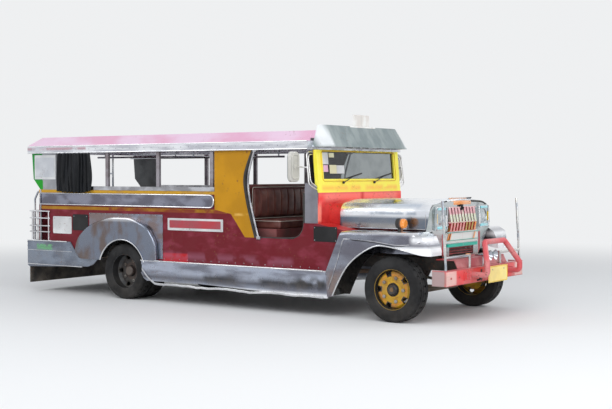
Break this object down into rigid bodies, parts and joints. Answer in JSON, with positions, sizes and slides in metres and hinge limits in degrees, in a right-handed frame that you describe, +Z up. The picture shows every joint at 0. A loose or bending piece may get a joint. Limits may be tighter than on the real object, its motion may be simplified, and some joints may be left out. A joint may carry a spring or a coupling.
{
  "type": "jeepney",
  "caption": "Long-bodied open-sided jeepney with bare steel panels, side benches, rear entrance, dual rear wheels, opening hood, rolling wheels and linked steering.",
  "frame": {"origin": "on the ground under the middle of the whole length, midway between the sides", "axes": "+X forward, +Y to the vehicle's left, +Z up"},
  "size_m": [7.06, 2.61, 2.435],
  "materials": {
    "chassis_black": "worn",
    "engine_grey": "rough",
    "axle_dirt": "dusty",
    "exhaust_steel": "rusty",
    "bumper_red": "worn gloss",
    "bright_chrome": "polished",
    "plate_yellow": "satin",
    "bar_red": "gloss",
    "lamp_glass_white": "clear",
    "bright_steel": "dull polish",
    "cowl_red": "gloss",
    "screen_yellow": "gloss",
    "window_glass": "clear",
    "visor_white": "satin",
    "mirror_white": "satin",
    "floor_steel": "worn",
    "wall_red": "worn gloss",
    "pillar_yellow": "worn gloss",
    "roof_pink": "faded",
    "corner_green": "satin",
    "board_black": "matt",
    "seat_frame_red": "worn",
    "seat_vinyl": "satin vinyl",
    "dash_paint": "satin",
    "black_plastic": "satin",
    "curtain_vinyl": "plastic-coated",
    "lamp_amber": "gloss",
    "tyre_black": "dusty",
    "wheel_yellow": "worn",
    "wheel_dark": "dusty"
  },
  "bodies": {
    "vehicle": {"chassis_frame": "chassis_black", "engine_block": "engine_grey", "radiator": "chassis_black", "front_axle_beam": "axle_dirt", "rear_axle": "axle_dirt", "leaf_springs": "axle_dirt", "fuel_tank": "chassis_black", "exhaust": "exhaust_steel", "front_bumper": "bumper_red", "corner_poles": "bright_chrome", "horns": "bright_chrome", "number_plate": "plate_yellow", "grille_shell": "bright_chrome", "grille_bars": "bar_red", "headlamps": "lamp_glass_white", "front_fenders": "bright_steel", "cowl": "cowl_red", "windscreen_frame": "screen_yellow", "windscreen_glass": "window_glass", "visor": "visor_white", "mirrors": "mirror_white", "floor": "floor_steel", "side_walls": "wall_red", "door_pillars": "pillar_yellow", "window_frames": "bright_steel", "roof": "roof_pink", "roof_band": "bright_steel", "rear_corner_panels": "corner_green", "rear_panels": "wall_red", "quarter_panels": "bright_steel", "corner_cages": "bright_chrome", "grab_rails": "bright_steel", "rear_step": "board_black", "rear_fenders": "bright_steel", "running_boards": "bright_steel", "side_trim": "bright_steel", "seat_frames": "seat_frame_red", "seat_pads": "seat_vinyl", "dashboard": "dash_paint", "rain_curtain": "curtain_vinyl", "marker_lamps": "lamp_amber"},
    "right_knuckle": {"knuckle_right": "axle_dirt"},
    "left_knuckle": {"knuckle_left": "axle_dirt"},
    "front_right_wheel": {"tyre_front_right": "tyre_black", "wheel_front_right": "wheel_yellow"},
    "front_left_wheel": {"tyre_front_left": "tyre_black", "wheel_front_left": "wheel_yellow"},
    "rear_right_wheels": {"tyres_rear_right": "tyre_black", "wheels_rear_right": "wheel_dark"},
    "rear_left_wheels": {"tyres_rear_left": "tyre_black", "wheels_rear_left": "wheel_dark"},
    "track_rod": {"tie_rod": "axle_dirt"},
    "hand_wheel": {"steering_wheel": "black_plastic"},
    "engine_hood": {"hood": "bright_steel"}
  },
  "joints": [
    {"name": "steer_left", "type": "hinge", "parent": "vehicle", "child": "left_knuckle", "pos_m": [2.62, 0.84, 0.375], "axis": [0, 0, 1], "range_deg": [-32, 32]},
    {"name": "steer_right", "type": "hinge", "parent": "vehicle", "child": "right_knuckle", "pos_m": [2.62, -0.84, 0.375], "axis": [0, 0, 1], "range_deg": [-32, 32]},
    {"name": "track_rod_swing", "type": "hinge", "parent": "left_knuckle", "child": "track_rod", "pos_m": [2.44, 0.84, 0.28], "axis": [0, 0, 1], "range_deg": [-32, 32]},
    {"name": "hand_wheel_turn", "type": "hinge", "parent": "vehicle", "child": "hand_wheel", "pos_m": [0.99, 0.48, 1.4], "axis": [-0.8192, 0, 0.5736], "range_deg": [-448, 448]},
    {"name": "front_left_roll", "type": "hinge", "parent": "left_knuckle", "child": "front_left_wheel", "pos_m": [2.62, 0.98, 0.375], "axis": [0, 1, 0], "continuous": true},
    {"name": "front_right_roll", "type": "hinge", "parent": "right_knuckle", "child": "front_right_wheel", "pos_m": [2.62, -0.98, 0.375], "axis": [0, 1, 0], "continuous": true},
    {"name": "rear_left_roll", "type": "hinge", "parent": "vehicle", "child": "rear_left_wheels", "pos_m": [-1.585, 0.98, 0.375], "axis": [0, 1, 0], "continuous": true},
    {"name": "rear_right_roll", "type": "hinge", "parent": "vehicle", "child": "rear_right_wheels", "pos_m": [-1.585, -0.98, 0.375], "axis": [0, 1, 0], "continuous": true},
    {"name": "hood_lift", "type": "hinge", "parent": "vehicle", "child": "engine_hood", "pos_m": [1.69, 0, 1.385], "axis": [0, -1, 0], "range_deg": [0, 55]}
  ],
  "couplings": [
    {"joint": "steer_right", "follows": "steer_left", "ratio": 1},
    {"joint": "track_rod_swing", "follows": "steer_left", "ratio": -1},
    {"joint": "hand_wheel_turn", "follows": "steer_left", "ratio": 14}
  ]
}
